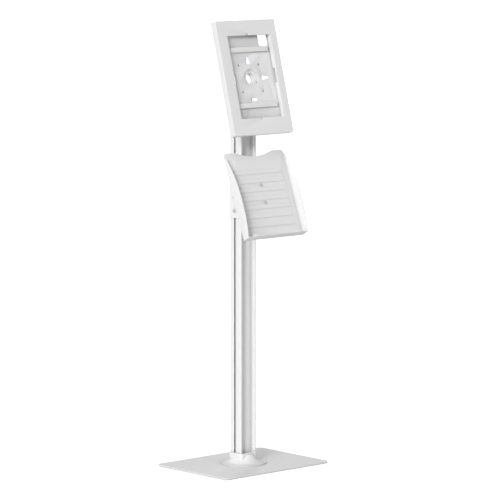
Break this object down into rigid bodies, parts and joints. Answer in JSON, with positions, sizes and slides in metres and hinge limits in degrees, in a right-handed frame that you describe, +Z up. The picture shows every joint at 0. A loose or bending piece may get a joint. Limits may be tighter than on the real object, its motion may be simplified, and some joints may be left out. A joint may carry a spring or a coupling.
{
  "type": "tablet holder",
  "caption": "Floor-standing tablet holder: base plate, slotted column, tilting and turning tablet enclosure with a hinged front frame, and a height-adjustable brochure tray.",
  "frame": {"origin": "on the floor, at the underside of the floor mat, on the column's axis", "axes": "+X right as seen from the front, +Y towards the back, +Z up along the column"},
  "size_m": [0.394, 0.293, 1.2483],
  "materials": {
    "rubber": "matt",
    "base_steel": "glossy powder coat",
    "white_steel": "fine powder coat",
    "tray_steel": "fine powder coat",
    "column_alloy": "powder-coated extrusion",
    "white_plastic": "moulded, satin",
    "fastener_steel": "zinc plated",
    "white_screws": "coated heads",
    "washer_plastic": "low-friction plastic",
    "foam": "closed-cell foam",
    "lock_chrome": "plated",
    "lock_brass": "turned"
  },
  "bodies": {
    "stand": {"floor_mat": "rubber", "base_plate": "base_steel", "base_bolts": "fastener_steel", "foot_collar": "white_plastic", "column_profile": "column_alloy", "cable_cover": "white_plastic", "column_cap": "white_plastic", "tilt_post": "white_steel", "post_screws": "fastener_steel", "tilt_spacer": "fastener_steel"},
    "yoke": {"tilt_yoke": "white_steel", "tilt_bolt": "fastener_steel", "tilt_nut": "fastener_steel", "friction_washers": "washer_plastic", "turn_washer": "washer_plastic"},
    "head": {"turn_hub": "fastener_steel", "ring_nut": "fastener_steel", "hub_screws": "fastener_steel", "back_tray": "white_steel", "thread_inserts": "fastener_steel", "upper_rail": "white_steel", "upper_foam": "foam", "lower_rail": "white_steel", "lower_foam": "foam", "hinge_pins": "fastener_steel", "lock_body": "lock_chrome", "lock_nut": "fastener_steel"},
    "frame": {"front_frame": "white_steel", "frame_catch": "white_steel"},
    "lock": {"lock_plug": "lock_brass", "lock_cam": "fastener_steel", "cam_screw": "fastener_steel"},
    "tray": {"tray_bracket": "tray_steel", "brochure_tray": "tray_steel", "tray_screws": "white_screws", "tray_nuts": "fastener_steel", "side_screws": "white_screws", "slot_nuts": "fastener_steel"}
  },
  "joints": [
    {"name": "tray_height", "type": "slide", "parent": "stand", "child": "tray", "axis": [0, 0, 1], "range_m": [-0.55, 0]},
    {"name": "head_tilt", "type": "hinge", "parent": "stand", "child": "yoke", "pos_m": [0, -0.00633, 1.05533], "axis": [-1, 0, 0], "range_deg": [-14.9, 45]},
    {"name": "head_turn", "type": "hinge", "parent": "yoke", "child": "head", "pos_m": [0, -0.0325, 1.0892], "axis": [0, -0.9664, 0.2571], "range_deg": [-90, 90]},
    {"name": "frame_open", "type": "hinge", "parent": "head", "child": "frame", "pos_m": [0, -0.07409, 0.94065], "axis": [1, 0, 0], "range_deg": [0, 80]},
    {"name": "lock_turn", "type": "hinge", "parent": "head", "child": "lock", "pos_m": [0, 0.00331, 1.22377], "axis": [0, -0.9664, 0.2571], "range_deg": [0, 90]}
  ]
}
